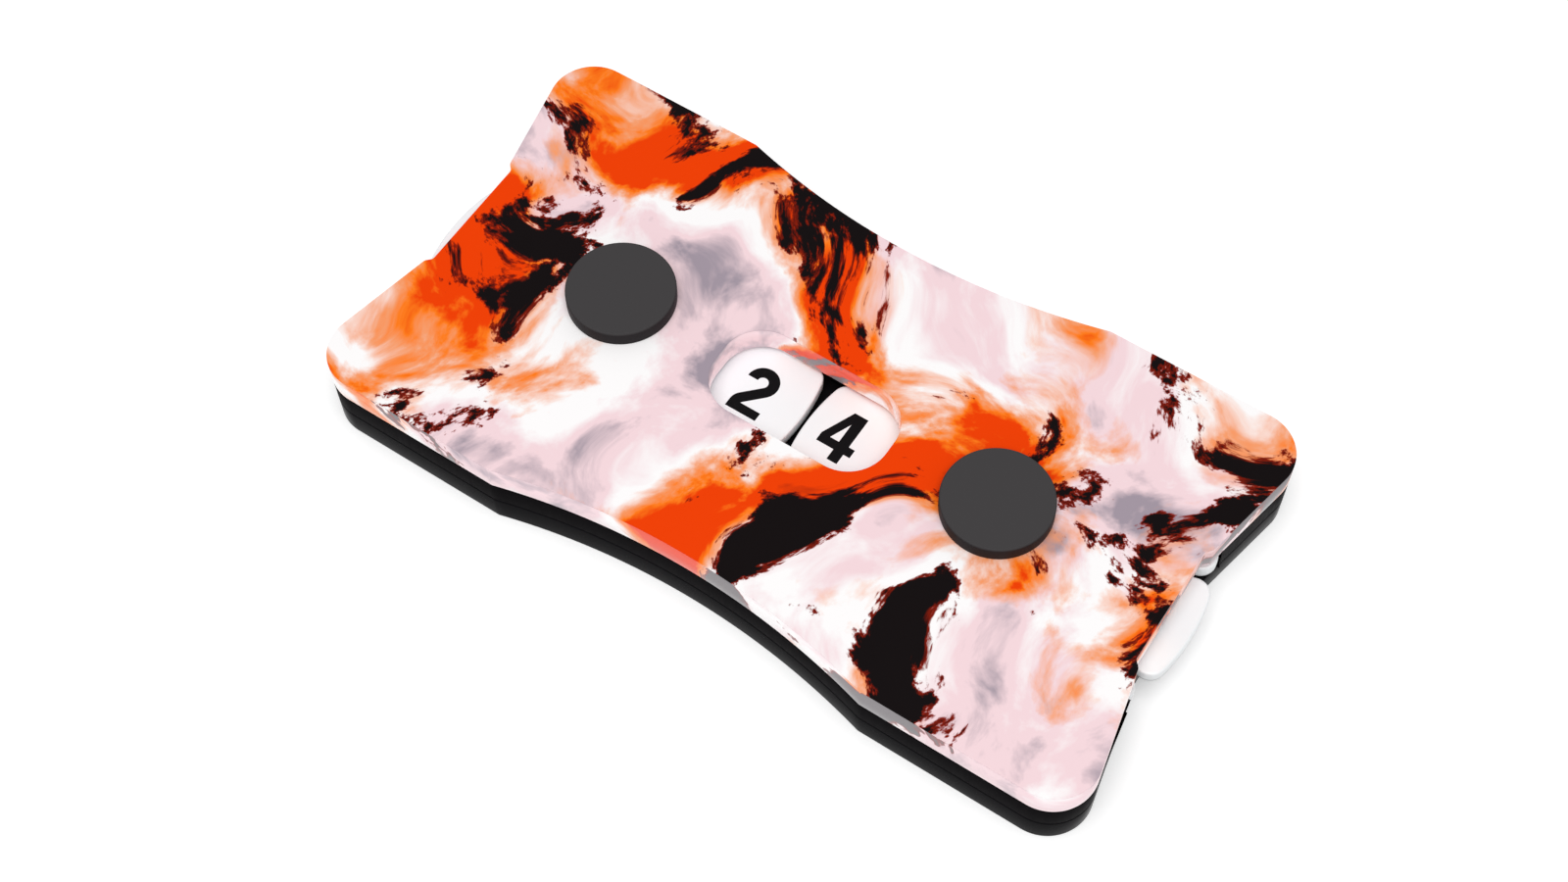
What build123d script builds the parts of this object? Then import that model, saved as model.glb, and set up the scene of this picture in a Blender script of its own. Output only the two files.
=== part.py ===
"""Two-wheel life counter.

A printed clear plate, a black spacer layer and a black base plate lie on each other. Two ten-lobed
wheels with the digits 0 to 9 turn between them on binding posts, and a window in the clear plate
shows one digit of each. X runs along the counter, in the reading direction of the digits, Y up the
digits and Z up, with the origin at the middle of the underside. All lengths are in millimetres.
"""

from math import acos, atan2, cos, degrees, hypot, radians, sin
import os

from build123d import *

# Wheels
wheel_diameter = 42.4
wheel_thickness = 1.5
wheel_gap = 0.6
wheel_edge_break = 0.2
lobe_count = 10
lobe_slot_width = 0.9
lobe_slot_depth = 2.6
lobe_slot_straight = 0.55

# Layers
plate_thickness = 3.0
spacer_thickness = 2.8
base_thickness = 3.0
tape_thickness = 0.1
print_thickness = 0.06
edge_break = 0.15

# Outline that all three layers share, set back from the wheels
well_clearance = 0.3
well_wall = 1.3
corner_radius = 4.5
waist_depth = 2.8
shoulder_inset = 0.7
rim_setback = 0.1
mouth_depth = 2.2
notch_width = 13.0
notch_depth = 0.6
notch_flare = 0.6
notch_round = 0.6

# Window, and the openings in the spacer layer at the window and at the short sides
window_length = 19.5
window_width = 10.1
window_end_flat = 1.5
middle_margin = 1.15
side_margin = 1.9

# Digits
digit_height = 5.8
digit_width = 3.5
four_width = 3.85
four_overhang = 0.7
four_lead = 0.4
four_arm = 1.0
digit_stroke = 1.15
digit_bar = 1.0
neck_round = 0.9
digit_depth = 0.15
digit_overrun = 1.0
digit_inset = 4.6
digits_left = 0.75
ones_digits_up = 0.3
tens_shown = 2
ones_shown = 4

# Binding posts
head_diameter = 11.0
head_thickness = 1.7
head_round = 0.35
barrel_diameter = 5.0
wheel_bore_clearance = 0.05
plate_hole_clearance = 0.1
barrel_end_gap = 0.2

# Screws from below
thread_diameter = 3.0
thread_clearance = 0.02
thread_length = 5.0
thread_end_gap = 0.5
screw_head_diameter = 9.0
screw_head_thickness = 1.5
screw_head_clearance = 0.2
screw_head_sink = 0.2
screw_slot_width = 1.2
screw_slot_depth = 0.8
screw_edge_break = 0.2

# Slip washers
washer_diameter = 9.0
upper_washer_thickness = 0.45
washer_play = 0.05
washer_hole_clearance = 0.1

# Lengths that follow
axle_spacing = wheel_diameter + wheel_gap
body_length = axle_spacing + wheel_diameter + 2 * rim_setback
body_width = wheel_diameter + 2 * well_clearance + 2 * well_wall
waist_width = body_width - 2 * waist_depth
shoulder_span = axle_spacing - 2 * shoulder_inset
mouth_length = body_length - 2 * mouth_depth
mouth_width = notch_width + 2 * notch_flare
neck_length = mouth_length - 2 * notch_depth
middle_opening = window_width + 2 * middle_margin
side_opening = mouth_width + 2 * side_margin
window_round = (window_width - window_end_flat) / 2
lobe_round = lobe_slot_depth - lobe_slot_width / 2 - lobe_slot_straight

# Heights that follow
spacer_low = base_thickness + tape_thickness
spacer_high = spacer_low + spacer_thickness
plate_low = spacer_high + tape_thickness
plate_high = plate_low + plate_thickness
print_high = plate_high + print_thickness
wheel_high = plate_low - upper_washer_thickness - washer_play
wheel_low = wheel_high - wheel_thickness
lower_washer_thickness = wheel_low - washer_play - base_thickness
screw_seat = screw_head_sink + screw_head_thickness

# Radii and places that follow
wheel_radius = wheel_diameter / 2
digit_radius = wheel_radius - digit_inset
barrel_radius = barrel_diameter / 2
thread_radius = thread_diameter / 2
tens_axle = (-axle_spacing / 2, 0)
ones_axle = (axle_spacing / 2, 0)
tens_dial_centre = (tens_axle[0] - digits_left, 0)
ones_dial_centre = (ones_axle[0] - digits_left, ones_digits_up)
lobe_angle = 360 / lobe_count


def around(centre, radius, angle):
    """Point at an angle in degrees on a circle."""
    return (
        centre[0] + radius * cos(radians(angle)),
        centre[1] + radius * sin(radians(angle)),
    )


def flip(point, x_sign, y_sign):
    """Mirror image of a point across the middle lines."""
    return (x_sign * point[0], y_sign * point[1])


def draw_body():
    """Draw the outline of the layers: round corners, waisted long sides, notched short sides."""
    centre = (body_length / 2 - corner_radius, body_width / 2 - corner_radius)
    mouth = (mouth_length / 2, mouth_width / 2)
    notch = (neck_length / 2, notch_width / 2)
    reach = (mouth[0] - centre[0], mouth[1] - centre[1])
    tangent_angle = degrees(atan2(reach[1], reach[0]) + acos(corner_radius / hypot(*reach)))
    corner_start = around(centre, corner_radius, tangent_angle)
    corner_middle = around(centre, corner_radius, (tangent_angle + 90) / 2)
    corner_end = (centre[0], body_width / 2)
    shoulder = (shoulder_span / 2, body_width / 2)
    side = [corner_start, mouth, notch]
    for x_sign in (1, -1):
        upper = [flip(point, x_sign, 1) for point in side]
        lower = [flip(point, x_sign, -1) for point in reversed(side)]
        FilletPolyline(*upper, *lower, radius=notch_round)
        for y_sign in (1, -1):
            ThreePointArc(
                flip(corner_start, x_sign, y_sign),
                flip(corner_middle, x_sign, y_sign),
                flip(corner_end, x_sign, y_sign),
            )
            Line(flip(corner_end, x_sign, y_sign), flip(shoulder, x_sign, y_sign))
    for y_sign in (1, -1):
        ThreePointArc(
            flip(shoulder, 1, y_sign),
            (0, y_sign * waist_width / 2),
            flip(shoulder, -1, y_sign),
        )


# Drawings that several pieces share
with BuildSketch() as body_drawing:
    with BuildLine():
        draw_body()
    make_face()

with BuildSketch() as plate_drawing:
    add(body_drawing.sketch)
    RectangleRounded(window_length, window_width, window_round, mode=Mode.SUBTRACT)
    with Locations(tens_axle, ones_axle):
        Circle(barrel_radius + plate_hole_clearance, mode=Mode.SUBTRACT)

with BuildSketch() as spacer_drawing:
    add(body_drawing.sketch)
    with Locations(tens_axle, ones_axle):
        Circle(wheel_radius + well_clearance, mode=Mode.SUBTRACT)
    Rectangle(axle_spacing, middle_opening, mode=Mode.SUBTRACT)
    with Locations((body_length / 2, 0), (-body_length / 2, 0)):
        Rectangle(axle_spacing, side_opening, mode=Mode.SUBTRACT)

spacer_faces = {
    "front": spacer_drawing.faces().sort_by(Axis.Y)[0],
    "rear": spacer_drawing.faces().sort_by(Axis.Y)[-1],
}

with BuildSketch() as wheel_drawing:
    Circle(wheel_radius)
    with PolarLocations(wheel_radius, lobe_count, start_angle=lobe_angle / 2):
        SlotOverall(2 * lobe_slot_depth, lobe_slot_width, mode=Mode.SUBTRACT)
    lobe_tips = wheel_drawing.vertices().sort_by(lambda tip: hypot(tip.X, tip.Y))
    fillet(lobe_tips[-2 * lobe_count :], radius=lobe_round)
    Circle(barrel_radius + wheel_bore_clearance, mode=Mode.SUBTRACT)


# Digits, each drawn about its own middle with a stem pen and a bar pen
pen_x = (digit_width - digit_stroke) / 2
pen_y = (digit_height - digit_stroke) / 2
bar_y = (digit_height - digit_bar) / 2
bowl_radius = pen_y / 2
upper_bowl = (0, bowl_radius)
lower_bowl = (0, -bowl_radius)
turn_of_two = 225
start_of_five = 135


def draw_ring(centre):
    """Closed bowl."""
    with Locations(centre):
        Circle(bowl_radius + digit_stroke / 2)
        Circle(bowl_radius - digit_stroke / 2, mode=Mode.SUBTRACT)


def draw_bowl(centre, start, turn):
    """Open bowl, from a start angle through a turn."""
    with BuildLine() as path:
        CenterArc(centre, bowl_radius, start, turn)
    trace(path.line, line_width=digit_stroke)


def draw_stroke(*points, width=digit_stroke):
    """Straight strokes from point to point."""
    with BuildLine() as path:
        Polyline(*points)
    trace(path.line, line_width=width)


def draw_bar(height):
    """Level bar over the whole width."""
    draw_stroke((-digit_width / 2, height), (digit_width / 2, height), width=digit_bar)


def draw_zero():
    """Long ring."""
    SlotOverall(digit_height, digit_width, rotation=90)
    SlotOverall(
        digit_height - 2 * digit_stroke,
        digit_width - 2 * digit_stroke,
        rotation=90,
        mode=Mode.SUBTRACT,
    )


def draw_one():
    """Stem with a slanting flag."""
    stem_x = digit_stroke / 2
    draw_stroke((stem_x, -digit_height / 2), (stem_x, digit_height / 2))
    draw_stroke((-pen_x, bowl_radius), (stem_x, digit_height / 2), width=digit_bar)


def draw_two():
    """Open bowl, neck that slants and then drops, and foot."""
    with BuildLine() as path:
        bowl = CenterArc(upper_bowl, bowl_radius, 180, -turn_of_two)
        neck_top = bowl @ 1
        neck_way = bowl % 1
        neck_bend = neck_top.Y - (neck_top.X + pen_x) * neck_way.Y / neck_way.X
        FilletPolyline(
            neck_top, (-pen_x, neck_bend), (-pen_x, -digit_height / 2), radius=neck_round
        )
    trace(path.line, line_width=digit_stroke)
    draw_bar(-bar_y)


def draw_three():
    """Two bowls that open to the left."""
    draw_bowl(upper_bowl, 180, -270)
    draw_bowl(lower_bowl, 90, -270)


def draw_four():
    """Stem, bar and slanting arm."""
    bar_end = four_width / 2
    bar_top = digit_bar / 2 - bowl_radius
    stem_x = bar_end - four_overhang - digit_stroke / 2
    arm_top = stem_x - digit_stroke / 2 - four_lead
    draw_stroke((stem_x, -digit_height / 2), (stem_x, digit_height / 2))
    draw_stroke((-bar_end, -bowl_radius), (bar_end, -bowl_radius), width=digit_bar)
    Polygon(
        (-bar_end, bar_top),
        (four_arm - bar_end, bar_top),
        (four_arm + arm_top, digit_height / 2),
        (arm_top, digit_height / 2),
        align=None,
    )


def draw_five():
    """Bar, short stem and a bowl that opens to the left."""
    stem_x = digit_bar / 2 - digit_width / 2
    stem_end = around(lower_bowl, bowl_radius, start_of_five)
    draw_stroke((stem_x, pen_y), (stem_x, stem_end[1]), width=digit_bar)
    draw_bowl(lower_bowl, start_of_five, -start_of_five - 180)
    draw_bar(bar_y)


def draw_six(side=1):
    """Closed bowl under a hook; upside down it is a nine."""
    draw_ring((0, -side * bowl_radius))
    stem_x = -side * bowl_radius
    draw_stroke((stem_x, -side * bowl_radius), (stem_x, side * bowl_radius))
    draw_bowl((0, side * bowl_radius), 90 + side * 90, -180)


def draw_seven():
    """Bar and slanting leg."""
    leg_end = (-pen_x / 2, -digit_height / 2 - digit_overrun)
    draw_stroke((digit_width / 2, digit_height / 2), leg_end)
    draw_bar(bar_y)


def draw_eight():
    """Two closed bowls."""
    draw_ring(upper_bowl)
    draw_ring(lower_bowl)


def draw_nine():
    """A six upside down."""
    draw_six(side=-1)


digit_pens = [
    draw_zero,
    draw_one,
    draw_two,
    draw_three,
    draw_four,
    draw_five,
    draw_six,
    draw_seven,
    draw_eight,
    draw_nine,
]
digit_drawings = []
for draw_digit in digit_pens:
    box_width = four_width if draw_digit is draw_four else digit_width
    with BuildSketch() as digit_drawing:
        draw_digit()
        Rectangle(box_width, digit_height, mode=Mode.INTERSECT)
    digit_drawings.append(digit_drawing.sketch)


def draw_dial(centre, radius, shown, step):
    """Draw the ten digits of a wheel round their centre, with the shown one upright."""
    for value, digit in enumerate(digit_drawings):
        turn = step * (value - shown)
        with Locations(around(centre, radius, turn)):
            add(digit, rotation=turn)


with BuildSketch() as tens_dial:
    draw_dial(tens_dial_centre, digit_radius, tens_shown, lobe_angle)

with BuildSketch() as ones_dial:
    draw_dial(ones_dial_centre, -digit_radius, ones_shown, -lobe_angle)


os.makedirs("parts", exist_ok=True)


def save(piece, label):
    """Label a finished piece and write it to its file."""
    piece.label = label
    export_step(piece, f"parts/{label}.step")


# Base plate, black sheet with counterbored post holes
with BuildPart() as base_plate:
    add(body_drawing.sketch)
    extrude(amount=base_thickness)
    rim_faces = base_plate.faces().filter_by(Axis.Z)
    chamfer([edge for face in rim_faces for edge in face.outer_wire().edges()], edge_break)
    with BuildSketch():
        with Locations(tens_axle, ones_axle):
            Circle(barrel_radius + plate_hole_clearance)
    extrude(amount=base_thickness, mode=Mode.SUBTRACT)
    with BuildSketch():
        with Locations(tens_axle, ones_axle):
            Circle(screw_head_diameter / 2 + screw_head_clearance)
    extrude(amount=screw_seat, mode=Mode.SUBTRACT)
save(base_plate.part, "base_plate")


# Spacers and the bonding film above and below each
for side_name, spacer_face in spacer_faces.items():
    with BuildPart() as spacer:
        with BuildSketch(Plane.XY.offset(spacer_low)):
            add(spacer_face)
        extrude(amount=spacer_thickness)
    save(spacer.part, f"{side_name}_spacer")
    for level_name, tape_low in (("lower", base_thickness), ("upper", spacer_high)):
        with BuildPart() as tape:
            with BuildSketch(Plane.XY.offset(tape_low)):
                add(spacer_face)
            extrude(amount=tape_thickness)
        save(tape.part, f"{side_name}_{level_name}_tape")


# Top plate, clear sheet with the window
with BuildPart() as top_plate:
    with BuildSketch(Plane.XY.offset(plate_low)):
        add(plate_drawing.sketch)
    extrude(amount=plate_thickness)
save(top_plate.part, "top_plate")


# Printed layer on the top plate
with BuildPart() as face_print:
    with BuildSketch(Plane.XY.offset(plate_high)):
        add(plate_drawing.sketch)
    extrude(amount=print_thickness)
save(face_print.part, "face_print")


# Pieces that each wheel has: wheel, digits, post, screw and washers
for wheel_name, axle, dial in (("tens", tens_axle, tens_dial), ("ones", ones_axle, ones_dial)):
    with BuildPart() as wheel:
        with BuildSketch(Plane.XY.offset(wheel_low)):
            with Locations(axle):
                add(wheel_drawing.sketch)
        extrude(amount=wheel_thickness)
        rim_faces = wheel.faces().filter_by(Axis.Z)
        rim_edges = [edge for face in rim_faces for edge in face.outer_wire().edges()]
        chamfer(rim_edges, wheel_edge_break)
        with BuildSketch(Plane.XY.offset(wheel_high)):
            add(dial.sketch)
        extrude(amount=-digit_depth, mode=Mode.SUBTRACT)
    save(wheel.part, f"{wheel_name}_wheel")

    with BuildPart() as numerals:
        with BuildSketch(Plane.XY.offset(wheel_high)):
            add(dial.sketch)
        extrude(amount=-digit_depth)
    save(numerals.part, f"{wheel_name}_numerals")

    with BuildPart() as post:
        with BuildSketch(Plane.XY.offset(print_high)):
            with Locations(axle):
                Circle(head_diameter / 2)
        extrude(amount=head_thickness)
        fillet(post.faces().sort_by(Axis.Z)[-1].edges(), head_round)
        barrel_low = screw_seat + barrel_end_gap
        with BuildSketch(Plane.XY.offset(barrel_low)):
            with Locations(axle):
                Circle(barrel_radius)
        extrude(amount=print_high - barrel_low)
        with BuildSketch(Plane.XY.offset(barrel_low)):
            with Locations(axle):
                Circle(thread_radius + thread_clearance)
        extrude(amount=thread_length + thread_end_gap, mode=Mode.SUBTRACT)
    save(post.part, f"{wheel_name}_post")

    with BuildPart() as screw:
        with BuildSketch(Plane.XY.offset(screw_head_sink)):
            with Locations(axle):
                Circle(screw_head_diameter / 2)
        extrude(amount=screw_head_thickness)
        chamfer(screw.faces().sort_by(Axis.Z)[0].edges(), screw_edge_break)
        with BuildSketch(Plane.XY.offset(screw_seat)):
            with Locations(axle):
                Circle(thread_radius)
        extrude(amount=barrel_end_gap + thread_length)
        with BuildSketch(Plane.XY.offset(screw_head_sink)):
            with Locations(axle):
                Rectangle(screw_head_diameter, screw_slot_width)
        extrude(amount=screw_slot_depth, mode=Mode.SUBTRACT)
    save(screw.part, f"{wheel_name}_post_screw")

    for level_name, washer_low, washer_thickness in (
        ("lower", base_thickness, lower_washer_thickness),
        ("upper", plate_low - upper_washer_thickness, upper_washer_thickness),
    ):
        with BuildPart() as washer:
            with BuildSketch(Plane.XY.offset(washer_low)):
                with Locations(axle):
                    Circle(washer_diameter / 2)
                    Circle(barrel_radius + washer_hole_clearance, mode=Mode.SUBTRACT)
            extrude(amount=washer_thickness)
        save(washer.part, f"{wheel_name}_{level_name}_washer")
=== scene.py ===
"""Looks of a two-wheel life counter, laid out as an add-on and run as a script.

A printed clear plate, a black spacer layer and a black base hold two ten-lobed white wheels on
binding posts. All lengths are in metres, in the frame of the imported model.
"""

import math

import bmesh
import bpy
from bpy.props import FloatProperty, FloatVectorProperty, IntProperty, PointerProperty
from bpy.types import Operator, Panel, PropertyGroup
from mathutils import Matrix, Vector


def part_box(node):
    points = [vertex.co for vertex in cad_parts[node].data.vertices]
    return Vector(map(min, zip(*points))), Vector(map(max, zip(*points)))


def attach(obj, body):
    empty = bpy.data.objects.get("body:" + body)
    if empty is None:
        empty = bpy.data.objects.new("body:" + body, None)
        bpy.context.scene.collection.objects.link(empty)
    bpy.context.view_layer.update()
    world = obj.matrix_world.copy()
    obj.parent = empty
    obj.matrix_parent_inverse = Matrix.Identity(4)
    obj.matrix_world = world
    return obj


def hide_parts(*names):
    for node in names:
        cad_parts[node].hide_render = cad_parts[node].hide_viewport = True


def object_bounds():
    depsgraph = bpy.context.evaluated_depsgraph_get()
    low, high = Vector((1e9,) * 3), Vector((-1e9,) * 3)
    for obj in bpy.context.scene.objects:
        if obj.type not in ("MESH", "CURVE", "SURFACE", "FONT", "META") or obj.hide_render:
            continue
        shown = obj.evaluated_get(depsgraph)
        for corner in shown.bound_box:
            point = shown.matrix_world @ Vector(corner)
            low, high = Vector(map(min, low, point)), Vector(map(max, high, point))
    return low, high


bl_info = {
    "name": "Life counter",
    "version": (1, 0, 0),
    "blender": (4, 5, 0),
    "location": "3D View > Sidebar > Life counter",
    "description": "Builds the printed plate, layers, wheels, posts and stage of a life counter",
    "category": "Object",
}

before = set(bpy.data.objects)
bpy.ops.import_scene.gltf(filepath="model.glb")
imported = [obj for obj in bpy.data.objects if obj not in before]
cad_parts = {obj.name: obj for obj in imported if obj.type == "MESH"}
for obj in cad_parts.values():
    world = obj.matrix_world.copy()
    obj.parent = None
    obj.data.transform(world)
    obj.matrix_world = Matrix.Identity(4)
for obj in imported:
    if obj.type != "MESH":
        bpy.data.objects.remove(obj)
CAD_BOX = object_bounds()
BASE_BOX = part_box("base_plate")
SPACER_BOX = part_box("rear_spacer")
PLATE_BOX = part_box("top_plate")
PRINT_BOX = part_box("face_print")
POST_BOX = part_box("ones_post")
WHEEL_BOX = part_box("ones_wheel")
NUMERAL_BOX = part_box("ones_numerals")
AXLE_X = (POST_BOX[0].x + POST_BOX[1].x) / 2
SIDES = {"tens": -1, "ones": 1}
MM = 0.001

# Steps along each round form
CORNER_STEPS = 30
NOTCH_STEPS = 6
WAIST_STEPS = 24
WINDOW_STEPS = 24
WELL_STEPS = 64
HOLE_STEPS = 96
EDGE_STEPS = 4
HEAD_STEPS = 6
FOOT_STEPS = 4
FILLET_STEPS = 10
TURNED_STEPS = 128

# Points on one lobe of a wheel: its rim, and two on the slot at each side
RIM_POINTS = 20
LOBE_POINTS = RIM_POINTS + 4
# Room that the rim's points leave to a lobe's round corner, as a share of the corner's radius
CORNER_ROOM_SHARE = 1.15
# Radius of a slot's round floor as a share of half the slot's width, so that it just fits
FLOOR_ROUND_SHARE = 0.999

SHOULDER_LEAD = 0.4 * MM
INK_OVERLAP = 0.01 * MM
INK_EDGE = 0.03 * MM
ENGRAVING_OVERRUN = 0.5 * MM
FLOOR_GAP = 0.02 * MM
CAD_WELD = 0.001 * MM
TREE_WELD = 0.002 * MM
# Upward part of the normal from which a face counts as level, and angle that shows as an edge
LEVEL_NORMAL = 0.999
SHARP_ANGLE = math.radians(40)

# Inputs and output of a Mix node for colours
SHARE, FIRST, SECOND, MIXED = 0, 6, 7, 2
# Stretch that draws a pattern out into the upright lines that a laser leaves on a cut
UPRIGHT = (1.0, 1.0, 0.05)


def linear(code):
    """sRGB hex colour as linear RGBA."""
    channels = [int(code[i : i + 2], 16) / 255 for i in (1, 3, 5)]
    return [c / 12.92 if c <= 0.04045 else ((c + 0.055) / 1.055) ** 2.4 for c in channels] + [1.0]


def length(name, description, size):
    """Length property with its default given in millimetres."""
    return FloatProperty(
        name=name,
        description=description,
        default=size * MM,
        unit="LENGTH",
        precision=5,
    )


def colour(name, description, code):
    """Colour property with its default given as an sRGB hex code."""
    return FloatVectorProperty(
        name=name,
        description=description,
        default=linear(code),
        size=4,
        subtype="COLOR",
        min=0.0,
        max=1.0,
    )


class OutlineSizes(PropertyGroup):
    """Sizes of the outline that all layers share, and of what is cut through them."""

    corner_radius: length("Corner radius", "Radius of the four corners", 4.5)
    waist_depth: length("Waist depth", "How far each long side curves in", 2.8)
    shoulder_inset: length("Shoulder inset", "From an axle to where the waist starts", 0.7)
    mouth_depth: length("Mouth depth", "How far each short side slants in", 2.2)
    notch_width: length("Notch width", "Width of the thumb notch's floor", 13.0)
    notch_depth: length("Notch depth", "Depth of the step at the thumb notch", 0.6)
    notch_flare: length("Notch flare", "How far the step widens outwards", 0.6)
    notch_round: length("Notch round", "Radius on the step's corners", 0.6)
    window_length: length("Window length", "Length of the window", 19.5)
    window_width: length("Window width", "Width of the window", 10.1)
    window_round: length("Window round", "Corner radius of the window", 4.3)
    post_hole: length("Post hole radius", "Radius of the post holes in the plates", 2.6)
    counterbore: length("Counterbore radius", "Radius of the screw recesses", 4.7)
    counterbore_depth: length("Counterbore depth", "Depth of the screw recesses", 1.7)
    well_radius: length("Well radius", "Radius of the wheel wells in the spacers", 21.5)
    middle_opening: length("Middle opening", "Width of the passage between the wells", 12.4)
    side_opening: length("Side opening", "Width of a well's mouth in a short side", 18.0)
    cut_edge: length("Cut edge", "Rounding that laser cutting leaves on an edge", 0.12)
    film_inset: length("Film inset", "How far the bonding film stays back from the edge", 0.1)


class WheelSizes(PropertyGroup):
    """Sizes of the two wheels and their digits."""

    lobes: IntProperty(name="Lobes", description="Lobes round a wheel", default=10, min=3)
    radius: length("Radius", "Radius over the lobes", 21.2)
    slot_width: length("Slot width", "Width of the slots between lobes", 0.9)
    slot_depth: length("Slot depth", "Depth of the slots between lobes", 2.6)
    lobe_round: length("Lobe round", "Radius on the corners of a lobe", 1.6)
    bore: length("Bore radius", "Radius of the bore", 2.55)
    edge: length("Edge", "Rounding of the rim's edges", 0.2)
    paint_sink: length("Paint sink", "How far the digits' paint lies below the face", 0.04)


class PostSizes(PropertyGroup):
    """Sizes of the binding posts."""

    head_round: length("Head round", "Rounding of the head's upper edge", 0.2)
    head_foot: length("Head foot", "Rounding of the head's lower edge", 0.1)
    head_thickness: length("Head thickness", "Thickness of the head", 1.7)
    barrel: length("Barrel radius", "Radius of the barrel", 2.5)
    bore: length("Bore radius", "Radius of the blind bore", 1.52)
    bore_depth: length("Bore depth", "Depth of the blind bore", 5.5)


class Finishes(PropertyGroup):
    """Colours of the pieces."""

    ink_white: colour("Ink white", "Palest ink of the print", "#fffdfd")
    ink_pink: colour("Ink pink", "Pale pink ink of the print", "#f6d9de")
    ink_lavender: colour("Ink lavender", "Grey-lilac ink of the print", "#a396a2")
    ink_peach: colour("Ink peach", "Orange ink where it thins out", "#f8a070")
    ink_amber: colour("Ink amber", "Bright orange ink at the edge of a pool", "#ff7d1a")
    ink_orange: colour("Ink orange", "Full orange-red ink", "#f04000")
    ink_rust: colour("Ink rust", "Dark red ink", "#8a1c06")
    ink_black: colour("Ink black", "Black ink", "#0b0506")
    # Painted light: pale haze on the clear plate's cut edge, lightening it over dark ink
    painted_edge_haze: colour("Edge veil", "Pale haze that the clear plate's cut edge adds", "#dcd6da")
    black: colour("Black acrylic", "Colour of the base", "#151416")
    # Painted shade: a darker copy of the black acrylic for the spacers, under the overhanging plate
    spacer: colour("Spacer black", "Colour of the spacers", "#0f0d0f")
    film: colour("Bonding film", "Colour of the film between the layers", "#0b0b0c")
    white: colour("White acrylic", "Colour of the wheels", "#f3f6f8")
    # Painted shade at the foot of the wheels' cut edges
    white_shaded_foot: colour("White acrylic's cut", "Colour at the foot of the wheels' cut edges", "#6f6d6e")
    paint: colour("Digit paint", "Colour of the digits", "#0d0c0e")
    nylon: colour("Black nylon", "Colour of the posts' and screws' faces", "#434142")
    # Painted shade on the posts' and screws' sides
    nylon_shaded_rim: colour("Black nylon rim", "Colour of the posts' and screws' sides", "#2d2a2c")
    washer: colour("Natural nylon", "Colour of the washers' faces", "#e4e2d8")
    # Painted shade on the washers' sides
    washer_shaded_rim: colour("Natural nylon rim", "Colour of the washers' sides", "#d6d3c6")


class StageSettings(PropertyGroup):
    """Camera, light and floor."""

    camera_place: FloatVectorProperty(
        name="Camera place",
        description="Where the camera stands",
        default=(0.06457, -0.09746, 0.20367),
        subtype="TRANSLATION",
        unit="LENGTH",
        precision=5,
    )
    camera_turn: FloatVectorProperty(
        name="Camera turn",
        description="How the camera is turned",
        default=(0.52347, 0.0108, 0.58383),
        subtype="EULER",
        precision=5,
    )
    lens: FloatProperty(
        name="Lens", description="Focal length in millimetres", default=54.26, min=1.0
    )
    daylight: FloatProperty(
        name="Daylight", description="Strength of the light from all round", default=0.39, min=0.0
    )
    lamp_power: FloatProperty(
        name="Lamp power", description="Power of the soft lamp", default=7.3, min=0.0, unit="POWER"
    )
    lamp_place: FloatVectorProperty(
        name="Lamp place",
        description="Where the soft lamp hangs",
        default=(0.12, -0.25, 0.96),
        subtype="TRANSLATION",
        unit="LENGTH",
    )
    lamp_width: FloatProperty(
        name="Lamp width", description="Width of the soft lamp", default=0.9, unit="LENGTH"
    )
    floor: colour("Floor", "Colour of the floor", "#f6f6f6")
    floor_reach: FloatProperty(
        name="Floor reach", description="Half the width of the floor", default=4.0, unit="LENGTH"
    )
    floor_lift: FloatProperty(
        name="Floor lift",
        description="Brightness added to the floor for whatever looks at it",
        default=0.25,
        min=0.0,
    )


# Outlines
def arc_points(centre, radius, start, stop, count):
    """Points along an arc, both ends included."""
    turns = [start + (stop - start) * i / count for i in range(count + 1)]
    x, y = centre
    return [Vector((x + radius * math.cos(t), y + radius * math.sin(t))) for t in turns]


def round_corner(before, corner, after, radius, count):
    """Points of the arc that rounds off one corner of a path."""
    before, corner, after = Vector(before), Vector(corner), Vector(after)
    back, on = (before - corner).normalized(), (after - corner).normalized()
    half = back.angle(on) / 2
    centre = corner + (back + on).normalized() * radius / math.sin(half)
    first = corner + back * radius / math.tan(half) - centre
    last = corner + on * radius / math.tan(half) - centre
    start = math.atan2(first.y, first.x)
    sweep = first.angle_signed(last) * -1
    return arc_points(centre, radius, start, start + sweep, count)


def inset(loop, distance):
    """Closed loop moved sideways, to its left, by a distance."""
    moved = []
    for i, point in enumerate(loop):
        back = (point - loop[i - 1]).normalized()
        on = (loop[(i + 1) % len(loop)] - point).normalized()
        side = Vector((-back.y - on.y, back.x + on.x)).normalized()
        # The limit keeps a sharp corner from shooting out
        moved.append(point + side * distance / max(0.5, side.dot(Vector((-on.y, on.x)))))
    return moved


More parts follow.
